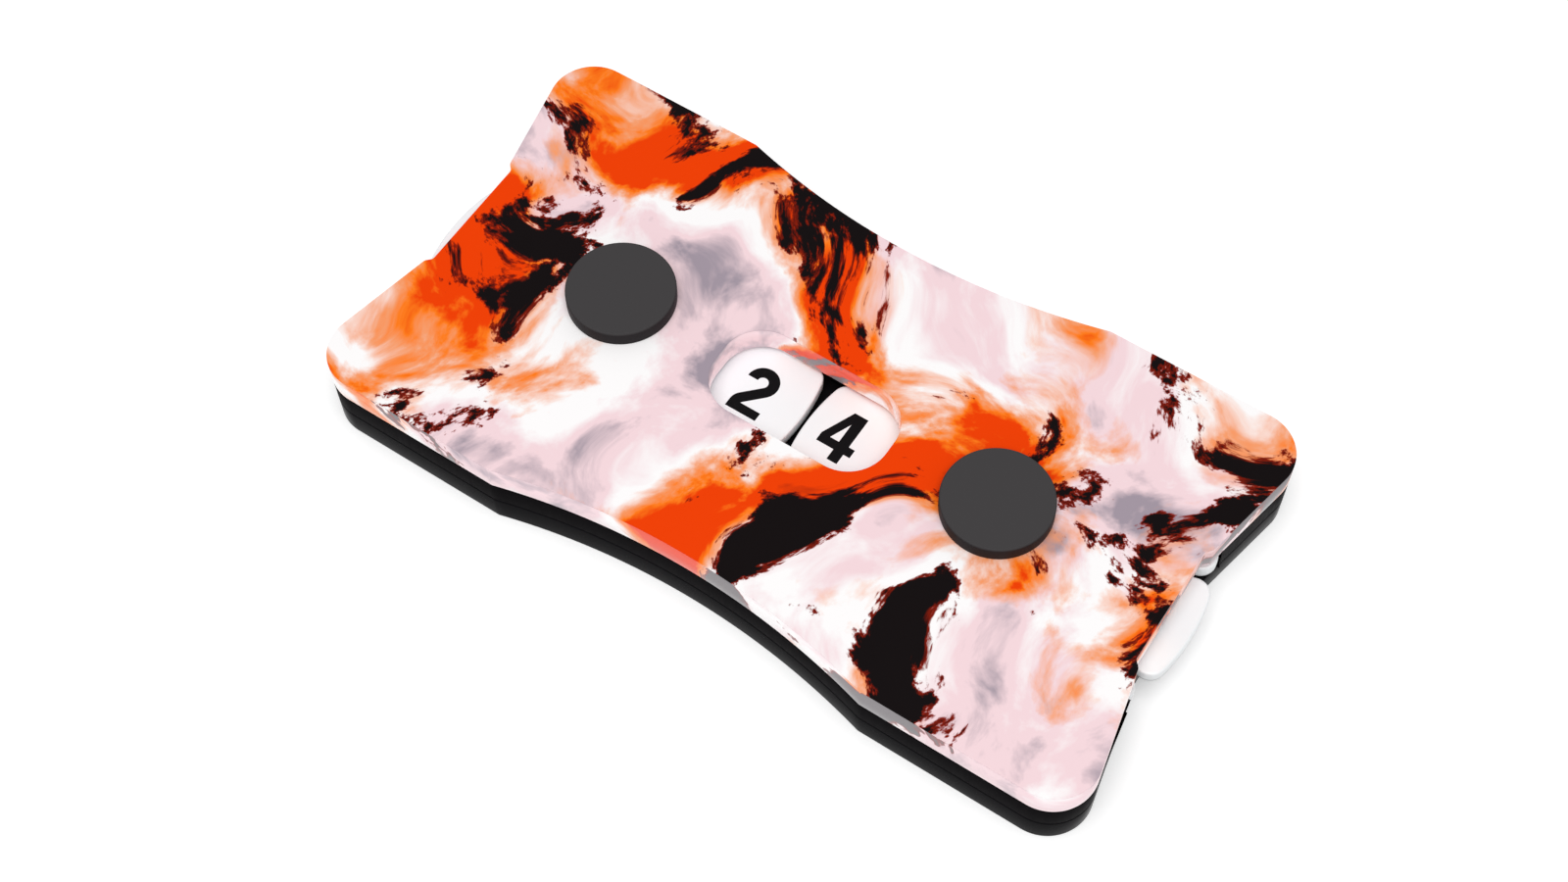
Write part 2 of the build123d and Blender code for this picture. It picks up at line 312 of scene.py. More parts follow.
def outline_quarter(sizes):
    """Outline from a short side's middle to a long side's middle, without those two points."""
    half_length, half_width = PLATE_BOX[1].x, PLATE_BOX[1].y
    centre = Vector((half_length - sizes.corner_radius, half_width - sizes.corner_radius))
    mouth = Vector((half_length - sizes.mouth_depth, sizes.notch_width / 2 + sizes.notch_flare))
    notch = mouth - Vector((sizes.notch_depth, sizes.notch_flare))
    reach = mouth - centre
    tangent = math.atan2(reach.y, reach.x) + math.acos(sizes.corner_radius / reach.length)
    corner = arc_points(centre, sizes.corner_radius, tangent, math.pi / 2, CORNER_STEPS)
    shoulder = AXLE_X - sizes.shoulder_inset
    waist_radius = (shoulder**2 + sizes.waist_depth**2) / (2 * sizes.waist_depth)
    waist_centre = (0, half_width - sizes.waist_depth + waist_radius)
    waist_start = math.atan2(half_width - waist_centre[1], shoulder)
    waist = arc_points(waist_centre, waist_radius, waist_start, -math.pi / 2, WAIST_STEPS)
    return [
        *round_corner((notch.x, 0), notch, mouth, sizes.notch_round, NOTCH_STEPS),
        *round_corner(notch, mouth, corner[0], sizes.notch_round, NOTCH_STEPS),
        *corner,
        # A point just before the bend keeps its soft shading off the straight side
        Vector((shoulder + SHOULDER_LEAD, half_width)),
        *waist[:-1],
    ]


def outline_half(sizes):
    """Outline round the rear half, from one short side to the other."""
    quarter = outline_quarter(sizes)
    middle = Vector((0, PLATE_BOX[1].y - sizes.waist_depth))
    return [*quarter, middle, *(Vector((-p.x, p.y)) for p in reversed(quarter))]


def turned(loop):
    """Loop turned half round the origin."""
    return [-p for p in loop]


def spacer_outline(sizes):
    """Outline of the rear spacer: outer edge, then the two wells from the tens to the ones side."""
    edge = outline_half(sizes)
    opening, middle = sizes.side_opening / 2, sizes.middle_opening / 2
    well = sizes.well_radius
    kept = [p for p in edge if p.y > opening]
    below = next(p for p in reversed(edge[: len(edge) // 2]) if p.y <= opening)
    share = (opening - below.y) / (kept[0].y - below.y)
    end = below.lerp(kept[0], share)
    side_turn, middle_turn = math.asin(opening / well), math.asin(middle / well)
    ones_well = arc_points((AXLE_X, 0), well, math.pi - middle_turn, side_turn, WELL_STEPS)
    tens_well = [Vector((-p.x, p.y)) for p in reversed(ones_well)]
    return [end, *kept, Vector((-end.x, end.y)), *tens_well, *ones_well]


def window_outline(sizes):
    """Window's outline, clockwise."""
    half_length, half_width = sizes.window_length / 2, sizes.window_width / 2
    x, y = half_length - sizes.window_round, half_width - sizes.window_round
    loop = []
    for i, centre in enumerate(((x, y), (-x, y), (-x, -y), (x, -y))):
        start = i * math.pi / 2
        loop += arc_points(centre, sizes.window_round, start, start + math.pi / 2, WINDOW_STEPS)
    return loop[::-1]


def circle_outline(centre, radius):
    """Circle, clockwise."""
    return arc_points(centre, radius, 0, -2 * math.pi, HOLE_STEPS)[:-1]


def edge_levels(low, high, low_round, high_round):
    """Heights and insets of a sheet's edge, rounded at its lower and upper rim."""
    turns = [i * math.pi / 2 / EDGE_STEPS for i in range(EDGE_STEPS + 1)]
    lower = [(low + low_round * (1 - math.cos(t)), low_round * (1 - math.sin(t))) for t in turns]
    upper = [(high - high_round * (1 - math.cos(t)), high_round * (1 - math.sin(t))) for t in turns]
    return (lower if low_round else [(low, 0)]) + (upper[::-1] if high_round else [(high, 0)])


def loop_rings(loop, levels):
    """Rings of a loop at each height, inset into the material."""
    return [[(p.x, p.y, z) for p in inset(loop, away)] for z, away in levels]


def round_rings(centre, profile):
    """Rings of a round hole from its heights and radii."""
    return [[(p.x, p.y, z) for p in circle_outline(centre, radius)] for z, radius in profile]


# Meshes
def finish_mesh(name, mesh):
    """Object from a bmesh, linked to the scene."""
    data = bpy.data.meshes.new(name)
    mesh.to_mesh(data)
    mesh.free()
    piece = bpy.data.objects.new(name, data)
    bpy.context.collection.objects.link(piece)
    return piece


def build_sheet(name, walls):
    """Flat piece from the rings of its outer edge and its holes, closed above and below."""
    mesh = bmesh.new()
    rims = ([], [])
    for rings in walls:
        rows = [[mesh.verts.new(p) for p in ring] for ring in rings]
        for low, high in zip(rows, rows[1:]):
            for i in range(len(low)):
                j = (i + 1) % len(low)
                mesh.faces.new((low[i], low[j], high[j], high[i])).smooth = True
        for rim, row in zip(rims, (rows[0], rows[-1])):
            rim += [mesh.edges.get((row[i - 1], row[i])) for i in range(len(row))]
    for rim, up in zip(rims, (-1, 1)):
        filled = bmesh.ops.triangle_fill(mesh, use_beauty=True, edges=rim, normal=(0, 0, up))
        for face in filled["geom"]:
            if isinstance(face, bmesh.types.BMFace):
                face.normal_update()
                face.smooth = False
                if face.normal.z * up < 0:
                    face.normal_flip()
    return finish_mesh(name, mesh)


def is_level(face):
    """Whether a face lies flat."""
    return abs(face.normal.z) > LEVEL_NORMAL


def round_rims(piece, width):
    """Round the edges between a flat piece's level faces and its walls."""
    mesh = bmesh.new()
    mesh.from_mesh(piece.data)
    mesh.normal_update()
    rims = [e for e in mesh.edges if len(e.link_faces) == 2 and sum(map(is_level, e.link_faces)) == 1]
    bmesh.ops.bevel(mesh, geom=rims, offset=width, segments=3, profile=0.5, affect="EDGES")
    mesh.normal_update()
    for face in mesh.faces:
        face.smooth = not is_level(face)
    mesh.to_mesh(piece.data)
    mesh.free()


def turn_piece(name, profile, axis_x):
    """Turned piece from radii and heights, from its top round to its axis again."""
    mesh = bmesh.new()
    rings = []
    for point in profile:
        if point.x == 0:
            rings.append([mesh.verts.new((axis_x, 0, point.y))])
            continue
        ring = []
        for i in range(TURNED_STEPS):
            turn = 2 * math.pi * i / TURNED_STEPS
            across = (point.x * math.cos(turn), point.x * math.sin(turn))
            ring.append(mesh.verts.new((axis_x + across[0], across[1], point.y)))
        rings.append(ring)
    for upper, lower in zip(rings, rings[1:]):
        for i in range(TURNED_STEPS):
            j = (i + 1) % TURNED_STEPS
            if len(upper) == 1:
                corners = (upper[0], lower[i], lower[j])
            elif len(lower) == 1:
                corners = (upper[i], lower[0], upper[j])
            else:
                corners = (upper[i], lower[i], lower[j], upper[j])
            mesh.faces.new(corners)
    mesh.normal_update()
    for face in mesh.faces:
        face.smooth = not is_level(face)
    for edge in mesh.edges:
        edge.smooth = edge.calc_face_angle(0) < SHARP_ANGLE
    return finish_mesh(name, mesh)


def merged_copy(node):
    """Copy of a CAD node's mesh with its loose triangles joined."""
    mesh = bmesh.new()
    mesh.from_mesh(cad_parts[node].data)
    bmesh.ops.remove_doubles(mesh, verts=mesh.verts, dist=CAD_WELD)
    for face in mesh.faces:
        face.smooth = False
    return mesh


def digits_piece(name, side, lift):
    """Copy of one wheel's digits, with their upper faces moved by a height."""
    mesh = merged_copy(f"{side}_numerals")
    middle = (NUMERAL_BOX[0].z + NUMERAL_BOX[1].z) / 2
    for vertex in mesh.verts:
        if vertex.co.z > middle:
            vertex.co.z += lift
    return finish_mesh(name, mesh)


def dress(piece, material):
    """Give a piece its one material."""
    piece.data.materials.clear()
    piece.data.materials.append(material)


def settle(piece, material, body, slot, *nodes):
    """Give a piece its material and body, and hide the CAD nodes it stands for. Its record slot is
    not used.
    """
    dress(piece, material)
    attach(piece, body)
    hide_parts(*nodes)


# Shading nodes
def add_node(tree, kind, settings=None, links=None, stops=()):
    """Add a node with its settings and colour stops, and link or set its inputs."""
    node = tree.nodes.new(kind)
    for name, value in (settings or {}).items():
        setattr(node, name, value)
    for i, (position, hue, opacity) in enumerate(stops):
        band = node.color_ramp.elements
        stop = band[i] if i < len(band) else band.new(1.0)
        stop.position = position
        stop.color = (*hue[:3], opacity)
    for key, value in (links or {}).items():
        if isinstance(value, bpy.types.NodeSocket):
            tree.links.new(value, node.inputs[key])
        else:
            node.inputs[key].default_value = value
    return node


def new_material(name, values):
    """Material with its shader's plain values set, its tree and its shader."""
    material = bpy.data.materials.new(name)
    material.use_nodes = True
    tree = material.node_tree
    shader = tree.nodes["Principled BSDF"]
    for key, value in values.items():
        shader.inputs[key].default_value = value
    return material, tree, shader


def millimetres(tree, scale=(1.0, 1.0, 1.0)):
    """Place on the object in millimetres, stretched by a scale."""
    place = add_node(tree, "ShaderNodeTexCoord").outputs["Object"]
    scaled = [s / MM for s in scale]
    return add_node(
        tree, "ShaderNodeMapping", {"vector_type": "POINT"}, {"Vector": place, "Scale": scaled}
    ).outputs["Vector"]


def levelness(tree):
    """How level the surface lies: 0 on a wall, 1 on a face."""
    shape = add_node(tree, "ShaderNodeNewGeometry")
    upright = add_node(
        tree, "ShaderNodeSeparateXYZ", links={"Vector": shape.outputs["True Normal"]}
    ).outputs["Z"]
    return add_node(
        tree, "ShaderNodeMath", {"operation": "ABSOLUTE", "use_clamp": True}, {0: upright}
    ).outputs[0]


def height_share(tree, low, high, at_low, at_high):
    """Value that goes with the height on the object, from one height to another."""
    height = add_node(tree, "ShaderNodeSeparateXYZ", links={"Vector": millimetres(tree)})
    return add_node(
        tree,
        "ShaderNodeMapRange",
        links={
            "Value": height.outputs["Z"],
            "From Min": low / MM,
            "From Max": high / MM,
            "To Min": at_low,
            "To Max": at_high,
        },
    ).outputs["Result"]


def seen_rays(tree):
    """1 for what the camera, a gloss or a clear piece sees, and 0 for light on the object."""
    path = add_node(tree, "ShaderNodeLightPath")
    seen = path.outputs["Is Camera Ray"]
    for ray in ("Is Glossy Ray", "Is Transmission Ray"):
        seen = add_node(
            tree, "ShaderNodeMath", {"operation": "MAXIMUM"}, {0: seen, 1: path.outputs[ray]}
        ).outputs[0]
    return seen


def two_tone(tree, shader, share, first, second):
    """Colour a surface from one tone to another by a share."""
    tone = add_node(
        tree,
        "ShaderNodeMix",
        {"data_type": "RGBA"},
        {SHARE: share, FIRST: tuple(first), SECOND: tuple(second)},
    )
    tree.links.new(tone.outputs[MIXED], shader.inputs["Base Color"])


def texture_surface(tree, shader, place, per_mm, detail, roughness=None, relief=None):
    """Vary the roughness between two values, and raise a relief of a strength and depth in mm."""
    pattern = add_node(
        tree, "ShaderNodeTexNoise", links={"Vector": place, "Scale": per_mm, "Detail": detail}
    ).outputs["Fac"]
    if roughness:
        polish = add_node(
            tree,
            "ShaderNodeMapRange",
            links={"Value": pattern, "To Min": roughness[0], "To Max": roughness[1]},
        )
        tree.links.new(polish.outputs["Result"], shader.inputs["Roughness"])
    if relief:
        bump = add_node(
            tree,
            "ShaderNodeBump",
            links={"Height": pattern, "Strength": relief[0], "Distance": relief[1] * MM},
        )
        tree.links.new(bump.outputs["Normal"], shader.inputs["Normal"])


# Materials
def marbled_ink(tree, colours, place, finest):
    """Colour of the marbled print at a place in millimetres, with no more than so much detail."""
    # Slow swirls, about 30 mm across, draw the inks out by up to 19 mm each way
    swirls_per_mm, reach = 0.035, 38.0
    swirl = add_node(
        tree,
        "ShaderNodeTexNoise",
        links={"Vector": place, "Scale": swirls_per_mm, "Detail": 2.0, "Roughness": 0.5},
    )
    centred = add_node(
        tree,
        "ShaderNodeVectorMath",
        {"operation": "SUBTRACT"},
        {0: swirl.outputs["Color"], 1: (0.5, 0.5, 0.5)},
    )
    drawn = add_node(
        tree,
        "ShaderNodeVectorMath",
        {"operation": "MULTIPLY_ADD"},
        {0: centred.outputs[0], 1: (reach, reach, reach), 2: place},
    ).outputs[0]
    # Each layer: seed, features per mm, detail, roughness, and its stops as place, ink and cover
    layers = (
        (
            2.0,
            0.05,
            7.0,
            0.55,
            (
                (0.38, colours.ink_lavender, 1.0),
                (0.44, colours.ink_pink, 1.0),
                (0.46, colours.ink_pink, 1.0),
                (0.52, colours.ink_white, 1.0),
                (0.60, colours.ink_white, 1.0),
                (0.72, colours.ink_peach, 1.0),
            ),
        ),
        (
            7.0,
            0.045,
            8.0,
            0.55,
            (
                (0.490, colours.ink_peach, 0.0),
                (0.535, colours.ink_peach, 1.0),
                (0.555, colours.ink_amber, 1.0),
                (0.575, colours.ink_orange, 1.0),
                (0.650, colours.ink_orange, 1.0),
                (0.720, colours.ink_rust, 1.0),
            ),
        ),
        (
            11.0,
            0.06,
            11.0,
            0.64,
            (
                (0.560, colours.ink_rust, 0.0),
                (0.570, colours.ink_rust, 1.0),
                (0.586, colours.ink_black, 1.0),
            ),
        ),
    )
    ink = (1.0, 1.0, 1.0, 1.0)
    for seed, scale, detail, roughness, stops in layers:
        pools = add_node(
            tree,
            "ShaderNodeTexNoise",
            {"noise_dimensions": "4D"},
            {
                "Vector": drawn,
                "W": seed,
                "Scale": scale,
                "Detail": min(detail, finest),
                "Roughness": roughness,
            },
        )
        hue = add_node(
            tree, "ShaderNodeValToRGB", links={"Fac": pools.outputs["Fac"]}, stops=stops
        )
        ink = add_node(
            tree,
            "ShaderNodeMix",
            {"data_type": "RGBA"},
            {SHARE: hue.outputs["Alpha"], FIRST: ink, SECOND: hue.outputs["Color"]},
        ).outputs[MIXED]
    return ink


def print_material(colours):
    """Full-colour ink, UV printed on acrylic and cured: satin, with a faint orange-peel grain."""
    material, tree, shader = new_material(
        "UV-cured ink on acrylic", {"Roughness": 0.4, "IOR": 1.5, "Specular IOR Level": 0.05}
    )
    place = millimetres(tree)
    ink = marbled_ink(tree, colours, place, finest=12.0)
    tree.links.new(ink, shader.inputs["Base Color"])
    # Orange-peel grain, 0.4 mm across
    texture_surface(tree, shader, place, 2.5, 2.0, relief=(0.05, 0.02))
    return material


def clear_material(colours):
    """Cast acrylic sheet, laser cut: its edges carry a painted refraction of the print under a
    painted pale haze, and a painted glow.
    """
    material, tree, shader = new_material(
        "Cast clear acrylic, laser cut",
        {
            "Roughness": 0.12,
            "IOR": 1.49,
            "Transmission Weight": 0.1,
            # Painted glow on the cut edges, coloured below
            "Emission Strength": 0.2,
        },
    )
    # Painted refraction: the edge is coloured with the underside of the ink as seen through the
    # sheet; the depth, in mm, is how far inwards it looks
    depth_at_foot, depth_at_rim = 4.5, 0.6
    shape = add_node(tree, "ShaderNodeNewGeometry")
    inwards = add_node(
        tree,
        "ShaderNodeVectorMath",
        {"operation": "MULTIPLY"},
        {0: shape.outputs["True Normal"], 1: (-1.0, -1.0, 0.0)},
    )
    depth = height_share(tree, PLATE_BOX[0].z, PLATE_BOX[1].z, depth_at_foot, depth_at_rim)
    raised = add_node(
        tree,
        "ShaderNodeVectorMath",
        {"operation": "MULTIPLY_ADD"},
        {0: millimetres(tree), 1: (1.0, 1.0, 0.0), 2: (0.0, 0.0, PRINT_BOX[1].z / MM)},
    )
    under = add_node(
        tree,
        "ShaderNodeVectorMath",
        {"operation": "MULTIPLY_ADD"},
        {0: inwards.outputs[0], 1: depth, 2: raised.outputs[0]},
    )
    ink = marbled_ink(tree, colours, under.outputs[0], finest=5.0)
    # Painted light: a pale haze lightens dark ink to grey on the edge, and leaves bright ink nearly
    # as it is
    bright_ink, painted_haze_on_dark, painted_haze_on_bright = 0.15, 0.36, 0.12
    brightness = add_node(tree, "ShaderNodeRGBToBW", links={"Color": ink})
    haze = add_node(
        tree,
        "ShaderNodeMapRange",
        links={
            "Value": brightness.outputs[0],
            "From Max": bright_ink,
            "To Min": painted_haze_on_dark,
            "To Max": painted_haze_on_bright,
        },
    )
    painted_edge_colour = add_node(
        tree,
        "ShaderNodeMix",
        {"data_type": "RGBA"},
        {SHARE: haze.outputs["Result"], FIRST: ink, SECOND: tuple(colours.painted_edge_haze)},
    )
    tree.links.new(painted_edge_colour.outputs[MIXED], shader.inputs["Base Color"])
    # Painted glow: the cut edges give off a little light in their own colour, standing in for light
    # that the sheet leads to them
    tree.links.new(painted_edge_colour.outputs[MIXED], shader.inputs["Emission Color"])
    # Faint upright lines on the cut, about 0.3 mm apart
    texture_surface(tree, shader, millimetres(tree, UPRIGHT), 3.0, 1.0, relief=(0.05, 0.02))
    return material


def black_material(name, base, specular, glossiest, dullest):
    """Acrylic sheet dyed black right through, laser cut: fine upright lines on its cuts."""
    material, tree, shader = new_material(
        name, {"Base Color": tuple(base), "IOR": 1.49, "Specular IOR Level": specular}
    )
    # Lines about 0.3 mm apart
    place = millimetres(tree, UPRIGHT)
    texture_surface(tree, shader, place, 3.0, 2.0, (glossiest, dullest), relief=(0.04, 0.02))
    return material


def film_material(colours):
    """Acrylic bonding film, die cut: dull black line between the glossy layers."""
    material, tree, shader = new_material(
        "Black bonding film", {"Base Color": tuple(colours.film), "IOR": 1.45}
    )
    # Grain, 0.3 mm across
    texture_surface(tree, shader, millimetres(tree), 3.0, 2.0, roughness=(0.5, 0.7))
    return material


def white_material(colours):
    """Opal white cast acrylic, laser cut: bright faces, and cut edges darker at their foot as painted
    shade.
    """
    material, tree, shader = new_material("Cast opal white acrylic, laser cut", {"IOR": 1.49})
    # Painted shade: the lowest 0.5 mm of a cut is darker
    shaded_foot_height = 0.5 * MM
    clean = height_share(tree, WHEEL_BOX[0].z, WHEEL_BOX[0].z + shaded_foot_height, 0.0, 1.0)
    bright = add_node(
        tree, "ShaderNodeMath", {"operation": "MAXIMUM"}, {0: levelness(tree), 1: clean}
    )
    two_tone(tree, shader, bright.outputs[0], colours.white_shaded_foot, colours.white)
    # Faint clouds in the gloss, 3 mm across
    texture_surface(tree, shader, millimetres(tree), 0.3, 4.0, roughness=(0.24, 0.36))
    # Upright lines on the cut, 0.25 mm apart
    texture_surface(tree, shader, millimetres(tree, UPRIGHT), 4.0, 1.0, relief=(0.06, 0.02))
    return material


def paint_material(colours):
    """Black enamel wiped into the engraved digits: dense, with a slightly uneven surface."""
    material, tree, shader = new_material(
        "Black enamel fill",
        {
            "Base Color": tuple(colours.paint),
            "Roughness": 0.45,
            "IOR": 1.5,
            "Specular IOR Level": 0.05,
        },
    )
    # Ripples, 0.7 mm across
    texture_surface(tree, shader, millimetres(tree), 1.5, 3.0, relief=(0.3, 0.03))
    return material


def nylon_material(name, face, rim):
    """Injection-moulded nylon from a spark-eroded mould: satin faces, and rims darker as painted
    shade.
    """
    material, tree, shader = new_material(name, {"IOR": 1.53, "Specular IOR Level": 0.02})
    # Painted shade: walls take the darker rim colour, level faces the face colour
    two_tone(tree, shader, levelness(tree), rim, face)
    # Mould grain, drawn at 0.2 mm so that it still shows
    texture_surface(tree, shader, millimetres(tree), 5.0, 3.0, (0.36, 0.52), relief=(0.12, 0.02))
    return material


def floor_material(stage):
    """Matt paper sheet: even and pale, and white to the eye away from the shadow."""
    material, tree, shader = new_material(
        "Matt white paper",
        {"Base Color": tuple(stage.floor), "Roughness": 0.9, "Specular IOR Level": 0.1},
    )
    lift = add_node(
        tree,
        "ShaderNodeMath",
        {"operation": "MULTIPLY"},
        {0: seen_rays(tree), 1: stage.floor_lift},
    )
    glow = add_node(tree, "ShaderNodeEmission", links={"Strength": lift.outputs[0]})
    both = add_node(
        tree, "ShaderNodeAddShader", links={0: shader.outputs[0], 1: glow.outputs[0]}
    )
    tree.links.new(both.outputs[0], tree.nodes["Material Output"].inputs["Surface"])
    return material


# Wheel tree
WHEEL_INPUTS = (
    "Radius",
    "Slot Width",
    "Slot Depth",
    "Lobe Round",
    "Bore",
    "Thickness",
    "Centre",
    "Height",
)
# Place of each point of a wheel's outline: a name, an operation, and values from further up
WHEEL_RULE = (
    ("count", "MULTIPLY", "Lobes", LOBE_POINTS),
    ("lobes passed", "DIVIDE", "index", LOBE_POINTS),
    ("lobe", "FLOOR", "lobes passed"),
    ("step", "MODULO", "index", LOBE_POINTS),
    ("steps left", "SUBTRACT", LOBE_POINTS - 1, "step"),
    ("from end", "MINIMUM", "step", "steps left"),
    ("from middle", "SUBTRACT", "step", (LOBE_POINTS - 1) / 2),
    ("side", "SIGN", "from middle"),
    # A lobe's first and last point are on a slot's floor, and the ones next to them at its mouth
    ("on floor", "LESS_THAN", "from end", 0.5),
    ("on slot", "LESS_THAN", "from end", 1.5),
    ("half slot", "MULTIPLY", "Slot Width", 0.5),
    ("half turn", "DIVIDE", math.pi, "Lobes"),
    ("whole turn", "MULTIPLY", "half turn", 2.0),
    # The rim's points keep clear of the rounded corners
    ("clear", "MULTIPLY_ADD", "Lobe Round", CORNER_ROOM_SHARE, "half slot"),
    ("clear turn", "DIVIDE", "clear", "Radius"),
    ("rim turn", "SUBTRACT", "half turn", "clear turn"),
    ("share", "DIVIDE", "from middle", (RIM_POINTS - 1) / 2),
    ("turn on rim", "MULTIPLY", "share", "rim turn"),
    ("turn on slot", "MULTIPLY", "side", "half turn"),
    ("turn between", "SUBTRACT", "turn on slot", "turn on rim"),
    ("local turn", "MULTIPLY_ADD", "on slot", "turn between", "turn on rim"),
    ("turn", "MULTIPLY_ADD", "lobe", "whole turn", "local turn"),
    ("sunk", "MULTIPLY", "on floor", "Slot Depth"),
    ("along", "SUBTRACT", "Radius", "sunk"),
    ("half slot here", "MULTIPLY", "on slot", "half slot"),
    ("other side", "MULTIPLY", "side", -1.0),
    ("across", "MULTIPLY", "half slot here", "other side"),
    # Slot floors are half round, and the lobes' corners have their own radius
    ("on mouth", "SUBTRACT", "on slot", "on floor"),
    ("corner round", "MULTIPLY", "on mouth", "Lobe Round"),
    ("floor round", "MULTIPLY", "half slot", FLOOR_ROUND_SHARE),
    ("rounding", "MULTIPLY_ADD", "on floor", "floor round", "corner round"),
)


def wheel_tree(material):
    """Geometry nodes tree of a lobed wheel: lobes by rule, bore, thickness."""
    tree = bpy.data.node_groups.new("Lobed wheel", "GeometryNodeTree")
    tree.interface.new_socket("Geometry", in_out="OUTPUT", socket_type="NodeSocketGeometry")
    tree.interface.new_socket("Lobes", in_out="INPUT", socket_type="NodeSocketInt")
    for name in WHEEL_INPUTS:
        tree.interface.new_socket(name, in_out="INPUT", socket_type="NodeSocketFloat")
    given = add_node(tree, "NodeGroupInput").outputs
    known = {name: given[name] for name in ("Lobes", *WHEEL_INPUTS)}
    known["index"] = add_node(tree, "GeometryNodeInputIndex").outputs[0]
    for name, operation, *terms in WHEEL_RULE:
        inputs = {i: known.get(term, term) for i, term in enumerate(terms)}
        made = add_node(tree, "ShaderNodeMath", {"operation": operation}, inputs)
        known[name] = made.outputs[0]
    local = add_node(
        tree, "ShaderNodeCombineXYZ", links={"X": known["along"], "Y": known["across"]}
    )
    place = add_node(
        tree,
        "ShaderNodeVectorRotate",
        {"rotation_type": "Z_AXIS"},
        {"Vector": local.outputs[0], "Angle": known["turn"]},
    )
    ring = add_node(
        tree,
        "GeometryNodeCurvePrimitiveCircle",
        links={"Resolution": known["count"], "Radius": 1.0},
    )
    rim = add_node(
        tree,
        "GeometryNodeSetPosition",
        links={"Geometry": ring.outputs["Curve"], "Position": place.outputs[0]},
    )
    rounded = add_node(
        tree,
        "GeometryNodeFilletCurve",
        {"mode": "POLY"},
        {"Curve": rim.outputs["Geometry"], "Radius": known["rounding"], "Count": FILLET_STEPS},
    )
    bore = add_node(
        tree,
        "GeometryNodeCurvePrimitiveCircle",
        links={"Resolution": HOLE_STEPS, "Radius": given["Bore"]},
    )
    both = add_node(tree, "GeometryNodeJoinGeometry")
    tree.links.new(rounded.outputs[0], both.inputs[0])
    tree.links.new(bore.outputs["Curve"], both.inputs[0])
    face = add_node(tree, "GeometryNodeFillCurve", links={"Curve": both.outputs[0]})
    clean = add_node(
        tree,
        "GeometryNodeMergeByDistance",
        links={"Geometry": face.outputs[0], "Distance": TREE_WELD},
    )
    raised = add_node(
        tree,
        "GeometryNodeExtrudeMesh",
        {"mode": "FACES"},
        {"Mesh": clean.outputs[0], "Offset Scale": given["Thickness"], "Individual": False},
    )
    under = add_node(tree, "GeometryNodeFlipFaces", links={"Mesh": clean.outputs[0]})
    whole = add_node(tree, "GeometryNodeJoinGeometry")
    tree.links.new(raised.outputs["Mesh"], whole.inputs[0])
    tree.links.new(under.outputs[0], whole.inputs[0])
    closed = add_node(
        tree,
        "GeometryNodeMergeByDistance",
        links={"Geometry": whole.outputs[0], "Distance": TREE_WELD},
    )
    offset = add_node(
        tree, "ShaderNodeCombineXYZ", links={"X": given["Centre"], "Z": given["Height"]}
    )
    placed = add_node(
        tree,
        "GeometryNodeTransform",
        links={"Geometry": closed.outputs[0], "Translation": offset.outputs[0]},
    )
    real = add_node(tree, "GeometryNodeRealizeInstances", links={"Geometry": placed.outputs[0]})
    dressed = add_node(
        tree,
        "GeometryNodeSetMaterial",
        links={"Geometry": real.outputs[0], "Material": material},
    )
    add_node(tree, "NodeGroupOutput", links={"Geometry": dressed.outputs[0]})
    return tree


def tree_mesh(name, tree, values):
    """Plain mesh object that a tree makes from its named inputs."""
    carrier = bpy.data.objects.new(name, bpy.data.meshes.new(name + " start"))
    bpy.context.collection.objects.link(carrier)
    modifier = carrier.modifiers.new(tree.name, "NODES")
    modifier.node_group = tree
    sockets = {s.name: s.identifier for s in tree.interface.items_tree if s.in_out == "INPUT"}
    for key, value in values.items():
        modifier[sockets[key]] = value
    return plain(carrier)


def plain(carrier):
    """Replace an object's mesh by its evaluated one and remove its modifiers."""
    bpy.context.view_layer.update()
    graph = bpy.context.evaluated_depsgraph_get()
    made = bpy.data.meshes.new_from_object(carrier.evaluated_get(graph), depsgraph=graph)
    carrier.modifiers.clear()
    carrier.data = made
    return carrier


